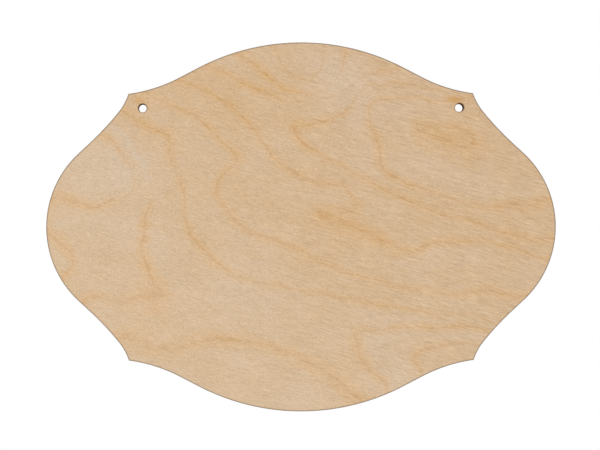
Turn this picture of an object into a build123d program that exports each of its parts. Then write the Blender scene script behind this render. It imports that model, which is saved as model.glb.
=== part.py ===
from build123d import *
import os

# Blank hanging plaque cut from three-ply birch board, in millimetres.
# X runs across the plaque and Z up it. The back face lies on Y = 0 and the front face looks along -Y.
# The origin is the centre of the back face, which lies against the wall or rack.

# Overall size of the board
plaque_width = 290.0
plaque_height = 210.0

# Corner tips, measured in from the furthest reach of the sides and of the top and bottom
tip_inset_across = 46.9
tip_inset_down = 29.1

# Top and bottom edges: where the crown's arc ends, measured from the corner tip, and the straight after it
long_flank_inset = 40.0
long_flank_rise = 14.9
long_flank_length = 12.3

# Left and right edges, in the same terms, and where their hollow tightens into a lip that flares out to the tip
short_flank_inset = 34.0
short_flank_rise = 28.6
short_flank_length = 8.8
short_lip_inset = 10.3
short_lip_rise = 5.6

# Hanging holes, measured from the two upper corner tips
hole_diameter = 4.5
hole_inset_across = 8.1
hole_inset_down = 8.3

# Plies and the resin films that bond them
face_veneer_thickness = 1.25
core_veneer_thickness = 1.3
glue_line_thickness = 0.1

half_width = plaque_width / 2
half_height = plaque_height / 2
corner_tip = Vector(half_width - tip_inset_across, half_height - tip_inset_down)


def ogee(crown, crown_heading, flank_start, flank_length, hollow_ends):
    """Half of one edge: a round crown, a straight flank and a hollow of one or more arcs out to the corner tip."""
    crown_arc = TangentArc(crown, flank_start, tangent=crown_heading)
    heading = crown_arc % 1
    start = flank_start + heading * flank_length
    edges = [crown_arc, Line(flank_start, start)]
    for end in hollow_ends:
        hollow_arc = TangentArc(start, end, tangent=heading)
        heading = hollow_arc % 1
        start = end
        edges.append(hollow_arc)
    return edges


# One quarter of the outline, from the top of the plaque round the corner tip to its right-hand side
top_edge = ogee(
    Vector(0, half_height),
    Vector(1, 0),
    corner_tip + Vector(-long_flank_inset, long_flank_rise),
    long_flank_length,
    [corner_tip],
)
side_edge = ogee(
    Vector(half_width, 0),
    Vector(0, 1),
    corner_tip + Vector(short_flank_rise, -short_flank_inset),
    short_flank_length,
    [corner_tip + Vector(short_lip_rise, -short_lip_inset), corner_tip],
)
quarter = top_edge + side_edge
upper_half = quarter + mirror(quarter, about=Plane.YZ).edges()
outline = upper_half + mirror(upper_half, about=Plane.XZ).edges()

# The laser cuts the outline and both holes through all the plies at once
hole_x = corner_tip.X - hole_inset_across
hole_z = corner_tip.Y - hole_inset_down
hanging_holes = Locations((-hole_x, hole_z), (hole_x, hole_z))
board = make_face(outline) - hanging_holes * Circle(hole_diameter / 2)

# The plies, in the order in which they are pressed, from the back of the board to its front
plies = [
    ("back_face_veneer", face_veneer_thickness),
    ("back_glue_line", glue_line_thickness),
    ("core_veneer", core_veneer_thickness),
    ("front_glue_line", glue_line_thickness),
    ("front_face_veneer", face_veneer_thickness),
]

os.makedirs("parts", exist_ok=True)
depth = 0.0
for name, thickness in plies:
    ply = extrude(Plane.XZ.offset(depth) * board, thickness)
    ply.label = name
    export_step(ply, f"parts/{name}.step")
    depth += thickness
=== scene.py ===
from math import atan2, cos, radians, sin

import bmesh
import bpy
import numpy as np
from mathutils import Matrix, Vector, noise


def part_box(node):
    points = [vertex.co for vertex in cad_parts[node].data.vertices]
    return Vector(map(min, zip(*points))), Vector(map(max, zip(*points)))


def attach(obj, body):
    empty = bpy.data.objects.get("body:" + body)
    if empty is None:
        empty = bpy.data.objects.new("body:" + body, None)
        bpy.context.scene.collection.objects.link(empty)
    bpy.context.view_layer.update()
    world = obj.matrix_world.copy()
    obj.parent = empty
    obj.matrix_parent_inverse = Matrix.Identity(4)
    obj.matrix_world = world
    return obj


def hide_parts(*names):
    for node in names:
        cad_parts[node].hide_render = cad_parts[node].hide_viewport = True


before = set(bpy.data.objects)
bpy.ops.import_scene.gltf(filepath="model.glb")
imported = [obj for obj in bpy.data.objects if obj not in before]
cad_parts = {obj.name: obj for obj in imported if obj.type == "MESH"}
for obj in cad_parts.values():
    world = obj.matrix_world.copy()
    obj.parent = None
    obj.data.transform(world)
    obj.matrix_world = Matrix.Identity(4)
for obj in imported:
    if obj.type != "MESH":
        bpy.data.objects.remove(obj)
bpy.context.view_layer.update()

# Back face veneer
# A sheet of birch peeled from the log like paper from a roll, 1.25 mm thick, and laid first in the press.
# The laser later cuts the whole board to its outline and holes, and leaves the rim of the sheet scorched.
mm = 0.001
plaque_width = 290 * mm
plaque_height = 210 * mm
tip_inset_across = 46.9 * mm
tip_inset_down = 29.1 * mm
long_flank_inset = 40.0 * mm
long_flank_rise = 14.9 * mm
long_flank_length = 12.3 * mm
short_flank_inset = 34.0 * mm
short_flank_rise = 28.6 * mm
short_flank_length = 8.8 * mm
short_lip_inset = 10.3 * mm
short_lip_rise = 5.6 * mm
hole_diameter = 4.5 * mm
hole_inset_across = 8.1 * mm
hole_inset_down = 8.3 * mm
outline_step = 1.2 * mm
hole_facets = 48

through_board = Vector((0, 1, 0))
tip_x = plaque_width / 2 - tip_inset_across
tip_z = plaque_height / 2 - tip_inset_down
hole_x = tip_x - hole_inset_across
hole_z = tip_z - hole_inset_down
hole_radius = hole_diameter / 2


def sweep_arc(bm, start, heading, end):
    """Carry the outline from a vertex to a point along a tangent arc; gives its last vertex and heading."""
    chord = end - start.co
    turn = 2 * atan2(heading.cross(chord).dot(through_board), heading.dot(chord))
    radius = chord.length / (2 * sin(turn / 2))
    centre = start.co + through_board.cross(heading) * radius
    steps = round(turn * radius / outline_step)
    swept = bmesh.ops.spin(bm, geom=[start], cent=centre, axis=through_board, angle=turn, steps=steps)
    return swept["geom_last"][0], Matrix.Rotation(turn, 3, "Y") @ heading


def trace_ogee(bm, crown, heading, flank_start, flank_length, hollow_ends):
    """Half of one edge of the board: a round crown, a straight flank and a hollow out to the corner tip."""
    last, heading = sweep_arc(bm, bm.verts.new(crown), heading, flank_start)
    steps = round(flank_length / outline_step)
    for _ in range(steps):
        last = bmesh.ops.extrude_vert_indiv(bm, verts=[last])["verts"][0]
        last.co += heading * flank_length / steps
    for end in hollow_ends:
        last, heading = sweep_arc(bm, last, heading, end)


def cut_board(y):
    """The board's outline and both hanging holes in the plane at y, filled in as one flat sheet."""
    bm = bmesh.new()
    tip = Vector((tip_x, y, tip_z))
    long_flank = tip + Vector((-long_flank_inset, 0, long_flank_rise))
    short_flank = tip + Vector((short_flank_rise, 0, -short_flank_inset))
    short_lip = tip + Vector((short_lip_rise, 0, -short_lip_inset))
    top = Vector((0, y, plaque_height / 2))
    side = Vector((plaque_width / 2, y, 0))
    trace_ogee(bm, top, Vector((1, 0, 0)), long_flank, long_flank_length, [tip])
    trace_ogee(bm, side, Vector((0, 0, 1)), short_flank, short_flank_length, [short_lip, tip])
    weld = 0.01 * mm
    bmesh.ops.remove_doubles(bm, verts=bm.verts[:], dist=weld)
    for axis in "XZ":
        whole = bm.verts[:] + bm.edges[:]
        bmesh.ops.mirror(bm, geom=whole, matrix=Matrix.Identity(4), merge_dist=weld, axis=axis)
    for x in (-hole_x, hole_x):
        place = Matrix.Translation((x, y, hole_z)) @ Matrix.Rotation(radians(90), 4, "X")
        bmesh.ops.create_circle(bm, radius=hole_radius, segments=hole_facets, matrix=place)
    bmesh.ops.triangle_fill(bm, edges=bm.edges[:], use_beauty=True, use_dissolve=True)
    return bm


def thicken(bm, y):
    """Raise a copy of the flat sheet to y, with walls between the two, and give the faces of the copy."""
    raised = bmesh.ops.extrude_face_region(bm, geom=bm.faces[:], use_keep_orig=True)["geom"]
    for vert in raised:
        if isinstance(vert, bmesh.types.BMVert):
            vert.co.y = y
    bmesh.ops.recalc_face_normals(bm, faces=bm.faces[:])
    return [face for face in raised if isinstance(face, bmesh.types.BMFace)]


# The sharp edge is sanded to a small round, and rows of narrow faces follow the cut to hold the scorch
arris = 0.2 * mm
scorch_rows = (0.1 * mm, 0.15 * mm, 0.25 * mm, 0.35 * mm)
figure_grid = 1.5 * mm


def nearest_hole(spot):
    """The point level with a spot on the axis of the nearer hanging hole."""
    return Vector((hole_x if spot.x > 0 else -hole_x, spot.y, hole_z))


def keep_hole_sharp(vert):
    """The sander passes over the hanging holes, so draw a corner on a rim most of the way back to it."""
    rim_wear = 0.1
    axis = nearest_hole(vert.co)
    out = vert.co - axis
    if out.length < hole_diameter:
        vert.co = axis + out.normalized() * (hole_radius + rim_wear * (out.length - hole_radius))


def sand_arris(bm, face):
    """Round the rim of the outer face over a quarter turn in two flats, and lay the rows for the scorch."""
    lean = radians(45)
    from_cut = bm.verts.layers.float.new("from_cut")
    rows = [(arris * (1 - cos(lean)), arris * sin(lean)), (arris * cos(lean), arris * (1 - sin(lean)))]
    rows += [(row, 0.0) for row in scorch_rows]
    inward = 0.0
    for row_width, rise in rows:
        bmesh.ops.inset_region(bm, faces=face, thickness=row_width, depth=rise, use_even_offset=True)
        inward += row_width
        for vert in {vert for part in face for vert in part.verts}:
            vert[from_cut] = inward / mm
            if rise:
                keep_hole_sharp(vert)


def rule_grid(bm, face):
    """Cut the outer face into a square grid, fine enough to carry the growth rings in its corners."""
    touching = 0.001 * mm
    sides = dict.fromkeys(edge for part in face for edge in part.edges)
    corners = dict.fromkeys(vert for part in face for vert in part.verts)
    cut = [*face, *sides, *corners]
    for normal, reach in ((Vector((1, 0, 0)), plaque_width / 2), (Vector((0, 0, 1)), plaque_height / 2)):
        lines = int(reach / figure_grid)
        for line in range(-lines, lines + 1):
            at = normal * line * figure_grid
            cut = bmesh.ops.bisect_plane(bm, geom=cut, dist=touching, plane_co=at, plane_no=normal)["geom"]
    inner = {part for part in cut if isinstance(part, bmesh.types.BMFace)}

    def on_grid(edge):
        a, b = (vert.co for vert in edge.verts)
        for one, other in ((a.x, b.x), (a.z, b.z)):
            off_line = one - round(one / figure_grid) * figure_grid
            if abs(one - other) < touching and abs(off_line) < touching:
                return True
        return False

    within = [edge for edge in bm.edges if all(part in inner for part in edge.link_faces)]
    spare = [edge for edge in within if not on_grid(edge)]
    bmesh.ops.dissolve_edges(bm, edges=spare, use_verts=True)


def finished_mesh(bm, name):
    """A mesh of that name from a bmesh that is done with."""
    mesh = bpy.data.meshes.new(name)
    bm.to_mesh(mesh)
    bm.free()
    return mesh


def set_out(name, data):
    """Put an object of that name in the scene."""
    thing = bpy.data.objects.new(name, data)
    bpy.context.scene.collection.objects.link(thing)
    return thing


# The order of a ply's finishes, how far a face's normal turns to the front on the flat and on the cut, and
# the angle past which an edge stays sharp
flat_face, cut_edge, hole_wall, worn_arris = range(4)
least_turn_of_flat = 0.95
most_turn_of_cut = 0.2
crease = radians(50)


def hang_piece(bm, name, node, materials):
    """Turn a finished ply into the piece that stands for its solid, with a finish for each kind of face."""
    bmesh.ops.recalc_face_normals(bm, faces=bm.faces[:])
    for part in bm.faces:
        part.smooth = True
        turn = abs(part.normal.y)
        centre = part.calc_center_median()
        if turn > least_turn_of_flat:
            part.material_index = flat_face
        elif (centre - nearest_hole(centre)).length < hole_diameter:
            part.material_index = hole_wall
        elif turn < most_turn_of_cut:
            part.material_index = cut_edge
        else:
            part.material_index = worn_arris
    mesh = finished_mesh(bm, name)
    mesh.set_sharp_from_angle(angle=crease)
    for material in materials:
        mesh.materials.append(material)
    piece = set_out(name, mesh)
    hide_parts(node)
    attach(piece, "root")
    return piece


def wire(tree, kind, inputs, **options):
    """Add a shader node, set its options and feed its sockets with values or with other nodes' outputs."""
    made = tree.nodes.new("ShaderNode" + kind)
    for option, value in options.items():
        setattr(made, option, value)
    for socket, value in inputs.items():
        if isinstance(value, bpy.types.NodeSocket):
            tree.links.new(value, made.inputs[socket])
        else:
            made.inputs[socket].default_value = value
    return made


def calc(tree, operation, first, second=0.0):
    """One step of arithmetic on two values."""
    return wire(tree, "Math", {0: first, 1: second}, operation=operation).outputs[0]


def scaled(tree, value, factor, offset=0.0):
    """A value times a factor, plus an offset."""
    return wire(tree, "Math", {0: value, 1: factor, 2: offset}, operation="MULTIPLY_ADD").outputs[0]


def fade(tree, value, start, end):
    """One where the value is at start, easing to nothing where it is at end."""
    limits = {"Value": value, "From Min": start, "From Max": end, "To Min": 1.0, "To Max": 0.0}
    return wire(tree, "MapRange", limits, interpolation_type="SMOOTHERSTEP").outputs[0]


def mixed(tree, amount, first, second):
    """One colour going over to another as the amount goes from nothing to one."""
    return wire(tree, "Mix", {0: amount, 6: first, 7: second}, data_type="RGBA").outputs[2]


def on_board(tree):
    """Where a point lies, in metres from the centre of the board's back."""
    return wire(tree, "TexCoord", {}).outputs["Object"]


def new_finish(name):
    """A new material, with its node tree and its shader."""
    material = bpy.data.materials.new(name)
    material.use_nodes = True
    tree = material.node_tree
    return material, tree, tree.nodes["Principled BSDF"]


def linear(level):
    """The linear light of a screen level."""
    level /= 255
    return level / 12.92 if level <= 0.04045 else ((level + 0.055) / 1.055) ** 2.4


def colour(red, green, blue):
    """A colour in screen levels, as the shader's linear light."""
    return (linear(red), linear(green), linear(blue), 1.0)


birch = (212.2, 182.4, 148.0)


def tint(red, green, blue):
    """A shift of so many screen levels away from the colour of birch, in linear light."""
    return tuple(linear(base + shift) - linear(base) for base, shift in zip(birch, (red, green, blue)))


# The grain runs down to the right
grain_tilt = radians(16)


def along_grain(tree, length, width):
    """Coordinates counted in streaks of that length and width, which run with the grain."""
    lie = {"Vector": on_board(tree), "Rotation": (0, grain_tilt, 0), "Scale": (length, 1, width)}
    return wire(tree, "Mapping", lie, vector_type="TEXTURE").outputs[0]


def streaks(tree, length, width, detail, waver=0.0):
    """Noise about zero, drawn out along the grain."""
    lie = {"Vector": along_grain(tree, length, width), "Scale": 1.0, "Detail": detail, "Roughness": 0.6}
    lie["Distortion"] = waver
    return calc(tree, "SUBTRACT", wire(tree, "TexNoise", lie).outputs["Fac"], 0.5)


def from_holes(tree, apart, right, up):
    """Distance from the nearer hole's axis, with both axes moved so far apart, to the right and up."""
    x, _, z = wire(tree, "SeparateXYZ", {0: on_board(tree)}).outputs
    mirrored = calc(tree, "ABSOLUTE", calc(tree, "SUBTRACT", x, right))
    spot = wire(tree, "CombineXYZ", {"X": mirrored, "Z": z}).outputs[0]
    axis = (hole_x + apart, 0, hole_z + up)
    return wire(tree, "VectorMath", {0: spot, 1: axis}, operation="DISTANCE").outputs["Value"]


def figure(tree, name):
    """What lay_figure wrote on the mesh under that name."""
    return wire(tree, "Attribute", {}, attribute_name=name).outputs["Fac"]


def birch_face(name):
    """Bare sanded birch: frayed amber growth lines, pale patches that are partly painted sheen, fibres and
    flecks, a scorched rim, and a crescent of painted shade at each hole.
    """
    material, tree, shader = new_finish(name)

    # Distance from the nearest growth line, in millimetres, frayed where the line runs across the grain
    fray = scaled(tree, streaks(tree, 10 * mm, 1.3 * mm, 2.0), 3.8)

    def from_line(lines_per_ring):
        ring = scaled(tree, figure(tree, "growth_ring"), lines_per_ring, 0.5)
        step = calc(tree, "SUBTRACT", calc(tree, "FRACT", ring), 0.5)
        pitch = calc(tree, "DIVIDE", figure(tree, "ring_pitch"), lines_per_ring)
        return calc(tree, "ABSOLUTE", scaled(tree, step, pitch, fray))

    distance = from_line(1)
    patchy = scaled(tree, streaks(tree, 10 * mm, 4 * mm, 2.0), 1.8, 1.0)
    boldness = calc(tree, "MULTIPLY", figure(tree, "boldness"), patchy)
    reach = scaled(tree, calc(tree, "ABSOLUTE", boldness), 3.0, 2.2)
    flank = calc(tree, "MULTIPLY", fade(tree, distance, 0.0, reach), boldness)
    line = calc(tree, "MULTIPLY", fade(tree, distance, 0.0, 1.0), calc(tree, "MAXIMUM", boldness, 0.0))
    # Paler patches: partly the wood's own tone, partly its flame-like sheen painted in as paler colour
    pale = figure(tree, "pale")
    showing = calc(tree, "MINIMUM", calc(tree, "MAXIMUM", pale, 0.28), 0.6)
    faint_line = calc(tree, "MULTIPLY", fade(tree, from_line(4), 0.0, 1.4), showing)

    # The grain is drawn out more and more from left to right
    across, _, up = wire(tree, "SeparateXYZ", {0: on_board(tree)}).outputs
    drawn_out = scaled(tree, across, 4.5, 1.0)
    mealy = scaled(tree, across, -1.5, 1.0)
    fuzz = calc(tree, "MULTIPLY", streaks(tree, 1.3 * mm, 0.8 * mm, 1.0), mealy)
    fibres = streaks(tree, 3 * mm, 0.16 * mm, 2.0, waver=0.2)
    flecks = streaks(tree, 4.5 * mm, 0.6 * mm, 1.0, waver=0.3)
    strands = calc(tree, "MULTIPLY", streaks(tree, 12 * mm, 0.8 * mm, 1.0), drawn_out)
    bands = streaks(tree, 18 * mm, 2.2 * mm, 2.0)
    mottle = streaks(tree, 9 * mm, 5 * mm, 2.0)
    blush = streaks(tree, 24 * mm, 10 * mm, 3.0)
    clouds = streaks(tree, 45 * mm, 20 * mm, 2.0)

    # Each adds a shift of so many screen levels to the colour of birch
    shifts = [
        (flank, (1.0, -3.5, -9.3)),
        (line, (-4.5, -5.4, -5.2)),
        (faint_line, (-3, -5, -8)),
        (fuzz, (30, 31, 28)),
        (fibres, (17, 21, 22)),
        (flecks, (28, 30, 28)),
        (strands, (24, 26, 24)),
        (bands, (4, 7, 10)),
        (mottle, (3, 7, 14.5)),
        (blush, (10, 3, -3)),
        (clouds, (6, 15, 27)),
        (pale, (2, 7, 14)),
        # The last two shifts make the face darker and warmer towards the right and towards the top
        (across, (-15, -25, -37)),
        (up, (-14, -28, -44)),
    ]
    shade = colour(*birch)[:3]
    for amount, shift in shifts:
        blend = {0: amount, 1: tint(*shift), 2: shade}
        shade = wire(tree, "VectorMath", blend, operation="MULTIPLY_ADD").outputs[0]

    # The laser browns a hair's breadth along the cut, smoke tans each hole's upper rim, and a thin black
    # crescent there is painted shade of the hole's wall
    scorch = calc(tree, "MULTIPLY", fade(tree, figure(tree, "from_cut"), 0.3, 0.95), 0.54)
    shade = mixed(tree, scorch, shade, colour(110, 98, 87))
    drift = from_holes(tree, apart=0.25 * mm, right=0.22 * mm, up=0.26 * mm)
    # First a tan of smoke, then a black crescent of painted shade, both about axes set a little up and out
    for spread, strength, stain_and_shade in ((1.1 * mm, 0.5, (150, 84, 10)), (0.5 * mm, 1.0, (58, 26, 2))):
        rim_smoke_and_shade = fade(tree, drift, hole_radius, hole_radius + spread)
        shade = mixed(tree, calc(tree, "MULTIPLY", rim_smoke_and_shade, strength), shade, colour(*stain_and_shade))
    tree.links.new(shade, shader.inputs["Base Color"])

    relief = wire(tree, "Bump", {"Strength": 0.25, "Distance": 0.04 * mm, "Height": flecks})
    tree.links.new(relief.outputs[0], shader.inputs["Normal"])
    tree.links.new(scaled(tree, bands, 0.2, 0.66), shader.inputs["Roughness"])
    shader.inputs["Specular IOR Level"].default_value = 0.3
    return material


def scorched_cut(name, toast, char, sheen=0.3):
    """The laser's cut: wood toasted brown, with darker strokes through the thickness of the board."""
    material, tree, shader = new_finish(name)

    def strokes(width, height, detail):
        lie = {"Vector": on_board(tree), "Scale": (width, height, width)}
        vector = wire(tree, "Mapping", lie, vector_type="TEXTURE").outputs[0]
        return wire(tree, "TexNoise", {"Vector": vector, "Scale": 1.0, "Detail": detail}).outputs["Fac"]

    fine = strokes(0.35 * mm, 5 * mm, 2.0)
    slow = strokes(14 * mm, 50 * mm, 1.0)
    strength = scaled(tree, fine, 0.9, scaled(tree, slow, 0.7))
    lightness = wire(tree, "MapRange", {"Value": strength, "From Min": 0.55, "From Max": 1.05}).outputs[0]
    shade = mixed(tree, lightness, colour(*char), colour(*toast))
    tree.links.new(shade, shader.inputs["Base Color"])
    relief = wire(tree, "Bump", {"Strength": 0.4, "Distance": 0.06 * mm, "Height": fine})
    tree.links.new(relief.outputs[0], shader.inputs["Normal"])
    tree.links.new(scaled(tree, fine, 0.3, 0.5), shader.inputs["Roughness"])
    shader.inputs["Specular IOR Level"].default_value = sheen
    return material


# Rings per millimetre, at the least and as usual, and how far the usual number evens out a ring's width
least_slope = 0.006
usual_slope = 0.045
evening_out = 0.3


def lay_figure(piece, ring_at, boldness_at, pale_at):
    """Write on each corner of the mesh its growth ring, the ring's width and how its line stands out."""
    mesh = piece.data
    corners = np.empty(len(mesh.vertices) * 3)
    mesh.vertices.foreach_get("co", corners)
    spots = corners.reshape(-1, 3)[:, [0, 2]] / mm
    nudge = 0.5
    ring = ring_at(spots)
    slope_across = ring_at(spots + (nudge, 0)) - ring_at(spots - (nudge, 0))
    slope_up = ring_at(spots + (0, nudge)) - ring_at(spots - (0, nudge))
    slope = np.maximum(np.hypot(slope_across, slope_up) / (2 * nudge), least_slope)
    layers = {
        "growth_ring": ring,
        "ring_pitch": 1 / (slope ** (1 - evening_out) * usual_slope**evening_out),
        "boldness": boldness_at(spots, ring),
        "pale": pale_at(spots),
    }
    for name, values in layers.items():
        mesh.attributes.new(name, "FLOAT", "POINT").data.foreach_set("value", values.astype(np.float32))


def wander(spots, length, height, seed):
    """A smooth drift from place to place, between about -1 and 1."""
    return np.array([noise.noise(Vector((x / length, z / height, seed))) for x, z in spots])


def back_rings(spots):
    """A plainer run of growth lines for the side that faces the wall."""
    across, up = spots.T
    return up / 24 + across / 130 + 1.5 * wander(spots, 105, 55, 3.0) + 0.3 * wander(spots, 34, 20, 8.0)


def back_boldness(spots, rings):
    """How boldly the lines of the back stand out, which varies from place to place."""
    return 0.9 + 0.8 * wander(spots, 40, 25, 5.0)


def back_pale(spots):
    """How much paler or darker than the rest the back is."""
    return 0.9 * wander(spots, 60, 30, 6.0)


veneer_cut = scorched_cut("scorched_veneer_edge", toast=(132, 90, 56), char=(70, 46, 31))
charred_arris = scorched_cut("charred_arris", toast=(140, 104, 70), char=(95, 68, 46))
charred_hole = scorched_cut("charred_hole_wall", toast=(76, 38, 6), char=(40, 19, 3), sheen=0.0)
face_finishes = [birch_face("sanded_birch"), veneer_cut, charred_hole, charred_arris]

inner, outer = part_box("back_face_veneer")
bm = cut_board(inner.y)
face = thicken(bm, outer.y - arris)
sand_arris(bm, face)
rule_grid(bm, face)
back_face = hang_piece(bm, "back_birch_face", "back_face_veneer", face_finishes)
lay_figure(back_face, back_rings, back_boldness, back_pale)

# Back glue line
# A film of dark phenolic resin, 0.1 mm thick, that sets hard in the hot press.
glue_finish = scorched_cut("burnt_resin", toast=(40, 28, 21), char=(22, 16, 13))


def spread_glue(name, node):
    """One film of resin, cut with the board."""
    inner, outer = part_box(node)
    bm = cut_board(inner.y)
    thicken(bm, outer.y)
    hang_piece(bm, name, node, [glue_finish, glue_finish, charred_hole])


spread_glue("back_resin_film", "back_glue_line")

# Core veneer
# The middle sheet of birch, 1.3 mm thick, with its grain laid square to the faces to keep the board flat.
# Its end grain shows all along the cut and burns darker than the faces.
core_cut = scorched_cut("scorched_core_edge", toast=(92, 62, 41), char=(48, 33, 24))
inner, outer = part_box("core_veneer")
bm = cut_board(inner.y)
thicken(bm, outer.y)
hang_piece(bm, "birch_core", "core_veneer", [core_cut, core_cut, charred_hole])

# Front glue line
# The second film of resin, the same as the first.
spread_glue("front_resin_film", "front_glue_line")

# Front face veneer
# The show side: one sheet of rotary-cut birch, sanded and left bare. The knife met the growth rings at a
# slant, so they spread into wide flame-like lines.

# Stretches of growth line: the number of the ring, how boldly it stands out there, and its course in
# millimetres across and up from the board's centre
growth_lines = [
    (-1, 1.5, [(-112, 52), (-106, 48), (-103, 43)]),
    (-1, 0.3, [(-100, 38), (-96, 33), (-95, 23), (-99, 18)]),
    (-1, 1.3, [(-107, 16), (-116, 12), (-126, 14), (-137, 17)]),
    (-1, 1.1, [(-141, -6), (-133, -13), (-130, -20), (-135, -28)]),
    (-1, 0.6, [(100, -68), (83, -67)]),
    (-1, 0.8, [(68, -71), (64, -76), (67, -80)]),
    (0, -0.9, [(-108, 57), (-96, 44), (-88, 31), (-84, 19)]),
    (0, 1.4, [(-85, 15), (-88, 8), (-89, -3), (-91, -11), (-88, -21), (-85, -30), (-80, -36), (-84, -39)]),
    (0, 0.9, [(-95, -40), (-109, -42), (-123, -41)]),
    (0, 0.8, [(-102, -62), (-92, -65), (-80, -69), (-67, -68)]),
    (0, 1.2, [(-54, -64), (-40, -64), (-27, -66)]),
    (0, 0.9, [(-14, -69), (-1, -75), (11, -81)]),
    (0, 1.3, [(24, -90), (33, -98)]),
    (0, 1.1, [(105, -59), (85, -57), (68, -57), (52, -58)]),
    (0, 1.1, [(33, -59), (32, -66), (35, -76), (43, -85), (49, -90)]),
    (1, 1.2, [(-101, 66), (-91, 60), (-82, 55), (-75, 52), (-75, 43)]),
    (1, 0.7, [(-71, 32), (-67, 21), (-66, 8)]),
    (1, 1.2, [(-63, -4), (-56, -12), (-46, -22)]),
    (1, 0.7, [(-31, -30), (-10, -34), (13, -38)]),
    (1, 0.9, [(37, -43), (62, -47)]),
    (1, 0.5, [(81, -51), (109, -55)]),
    (2, 1.0, [(-87, 76), (-76, 70), (-65, 66), (-57, 61), (-50, 54), (-42, 46)]),
    (2, 1.6, [(-36, 39)]),
    (2, 0.7, [(-41, 33), (-47, 26)]),
    (2, 0.9, [(-48, 19), (-43, 12), (-38, 4), (-29, -3), (-16, -7), (-1, -13), (11, -20)]),
    (2, 0.8, [(26, -26), (43, -30), (56, -34)]),
    (2, 0.9, [(73, -36), (92, -38), (107, -36), (124, -40)]),
    (3, 0.9, [(-69, 84), (-57, 79), (-48, 74)]),
    (3, 1.0, [(-38, 67), (-29, 58), (-21, 48), (-14, 38)]),
    (3, 0.8, [(-1, 30), (11, 25), (24, 23), (31, 14)]),
    (3, 1.3, [(25, 9), (18, 6), (10, 7), (22, 4)]),
    (3, 1.4, [(32, -1), (41, -5), (51, -10)]),
    (3, 1.25, [(64, -14), (77, -9), (90, -9)]),
    (3, 0.7, [(107, -9), (121, -12), (138, -18)]),
    (4, 1.3, [(-53, 92), (-40, 86), (-27, 79), (-14, 74)]),
    (4, 0.25, [(1, 72), (11, 73), (22, 77), (32, 83)]),
    (4, 0.7, [(43, 88), (55, 90)]),
    (4, 0.6, [(75, 78), (60, 81), (47, 80)]),
    (4, 0.2, [(35, 78)]),
    (4, 1.1, [(28, 68), (19, 63), (9, 59)]),
    (4, 1.4, [(-3, 58), (-2, 51), (5, 45)]),
    (4, 0.8, [(17, 38), (30, 30)]),
    (4, 1.1, [(43, 24), (58, 16)]),
    (4, 0.7, [(75, 9), (94, 4), (113, -3)]),
    (4, 1.1, [(126, -6), (141, -7)]),
    (5, 1.3, [(-35, 98), (-27, 93), (-19, 86), (-10, 79), (0, 76)]),
    (5, 0.3, [(7, 75), (14, 78), (21, 85)]),
    (5, 0.8, [(24, 93), (26, 101)]),
    (5, 0.8, [(85, 72), (70, 73), (55, 73), (42, 72), (39, 65)]),
    (5, 1.3, [(42, 53), (45, 44), (49, 31), (62, 24)]),
    (5, 0.6, [(77, 19), (90, 14)]),
    (5, 1.1, [(106, 11), (117, 13), (140, 15)]),
    (6, 0.55, [(-14, 101), (-10, 91), (0, 84)]),
    (6, 0.4, [(8, 86), (12, 92), (13, 101)]),
    (6, 1.0, [(98, 48), (95, 46), (90, 46), (84, 49), (77, 51), (70, 55), (66, 58)]),
    (6, 1.0, [(71, 59), (77, 58), (84, 57), (92, 55), (97, 52)]),
]
knots = np.array([spot for _, _, line in growth_lines for spot in line], float)
knot_rings = np.array([ring for ring, _, line in growth_lines for _ in line], float)
knot_boldness = np.array([boldness for _, boldness, line in growth_lines for _ in line], float)


def bend(spots):
    """How far each knot bends a thin plate at each spot: the squared distance times its logarithm."""
    on_knot = 1e-9
    squared = ((spots[:, None, :] - knots[None, :, :]) ** 2).sum(axis=2)
    return squared * np.log(np.maximum(squared, on_knot)) / 2


def front_rings():
    """The smoothest surface that stands at each ring's number along its growth lines."""
    slack = 2.0
    plane = np.c_[np.ones(len(knots)), knots]
    plate = bend(knots) + slack * np.eye(len(knots))
    system = np.block([[plate, plane], [plane.T, np.zeros((3, 3))]])
    weights = np.linalg.solve(system, np.r_[knot_rings, np.zeros(3)])
    return lambda spots: np.c_[bend(spots), np.ones(len(spots)), spots] @ weights


def front_boldness(spots, rings):
    """How boldly the nearest growth line stands out: that of the knots close by on the same ring."""
    reach = 7.0
    ring_reach = 0.3
    far_share = 1e-6
    squared = ((spots[:, None, :] - knots[None, :, :]) ** 2).sum(axis=2) / reach**2
    squared += ((rings[:, None] - knot_rings[None, :]) / ring_reach) ** 2
    share = np.exp(-squared / 2) + far_share / (1 + squared)
    return share @ knot_boldness / share.sum(axis=1)


# Patches where the wood is paler, with its flame-like sheen painted in as paler colour there, or darker, or
# where smoke from the cut
# has stained it: centre, half length along the grain, half width and strength
sheen_tone_and_stain_patches = [
    ((-98, 33), 14, 12, 0.5),
    ((-122, 30), 18, 12, 0.45),
    ((20, 85), 17, 12, 0.85),
    ((50, 76), 34, 15, 0.5),
    ((-28, -42), 26, 9, 0.5),
    ((45, -62), 16, 11, 0.45),
    ((54, -88), 24, 12, 0.5),
    ((80, 30), 20, 12, 0.25),
    ((-105, 2), 40, 28, 0.2),
    ((44, 62), 18, 14, 0.18),
    ((100, -62), 32, 20, 0.24),
    ((-35, 60), 26, 34, -0.12),
    ((-62, 80), 34, 14, -0.45),
    ((5, -8), 50, 22, -0.35),
    ((82, 53), 15, 3.5, -0.6),
    ((-6, 78), 8, 2.5, -0.6),
    ((-92, 72), 3.5, 1.8, -1.9),
    ((87, 72.3), 4, 1.8, -1.7),
]


def front_pale_and_sheen(spots):
    """How pale each spot is, painted sheen included, with all the patches that reach it."""
    pale = np.zeros(len(spots))
    for centre, half_length, half_width, strength in sheen_tone_and_stain_patches:
        x, z = (spots - centre).T
        along = (x * cos(grain_tilt) - z * sin(grain_tilt)) / half_length
        over = (x * sin(grain_tilt) + z * cos(grain_tilt)) / half_width
        pale += strength * np.exp(-(along**2) - over**2)
    return pale


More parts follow.
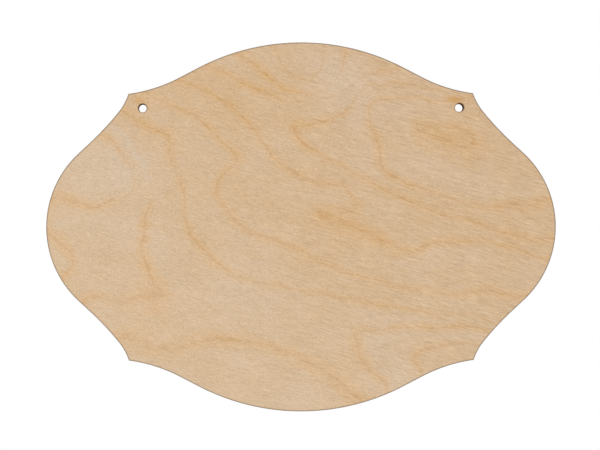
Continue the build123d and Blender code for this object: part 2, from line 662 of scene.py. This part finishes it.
inner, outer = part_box("front_face_veneer")
bm = cut_board(outer.y)
face = thicken(bm, inner.y + arris)
sand_arris(bm, face)
rule_grid(bm, face)
front_face = hang_piece(bm, "front_birch_face", "front_face_veneer", face_finishes)
lay_figure(front_face, front_rings(), front_boldness, front_pale_and_sheen)

# Studio
# A pale round floor well below the hanging plaque, a white room of light about it and one large soft lamp.
floor_drop = 1.2
floor_radius = 9.0
bm = bmesh.new()
level = Matrix.Translation((0, 0, -floor_drop))
bmesh.ops.create_circle(bm, cap_ends=True, segments=128, radius=floor_radius, matrix=level)
floor = set_out("floor", finished_mesh(bm, "floor"))
paint, _, shader = new_finish("pale_floor")
shader.inputs["Base Color"].default_value = colour(244, 243, 240)
shader.inputs["Roughness"].default_value = 0.8
floor.data.materials.append(paint)

room = bpy.data.worlds.new("white_room")
bpy.context.scene.world = room
room.use_nodes = True
tree = room.node_tree
seen = wire(tree, "LightPath", {}).outputs["Is Camera Ray"]
room_light = 0.8
brightness = {"Value": seen, "To Min": room_light, "To Max": 1.0}
tree.nodes["Background"].inputs["Color"].default_value = (1, 1, 1, 1)
strength = wire(tree, "MapRange", brightness).outputs[0]
tree.links.new(strength, tree.nodes["Background"].inputs["Strength"])

lamp_data = bpy.data.lights.new("soft_lamp", "AREA")
lamp_data.shape = "RECTANGLE"
lamp_data.size = 1.4
lamp_data.size_y = 1.0
lamp_data.energy = 9.6
lamp = set_out("soft_lamp", lamp_data)
lamp.location = (-0.3, -2.0, 0.1)
lamp.rotation_euler = (-Vector(lamp.location)).to_track_quat("-Z", "Y").to_euler()

# Camera
# It stands square to the board, 1.2 m off, a hair left of and above its middle, and a hair out of level.
picture_width = 341.47 * mm
stand_off = 1200 * mm
to_left = 0.57 * mm
above = 1.08 * mm
roll = radians(0.1095)
camera_data = bpy.data.cameras.new("camera")
camera_data.sensor_width = 36.0
camera_data.lens = camera_data.sensor_width * stand_off / picture_width
camera = set_out("camera", camera_data)
camera.location = (-to_left, inner.y - stand_off, above)
camera.rotation_euler = (radians(90), roll, 0)
bpy.context.scene.camera = camera
bpy.context.scene.view_settings.view_transform = "Standard"
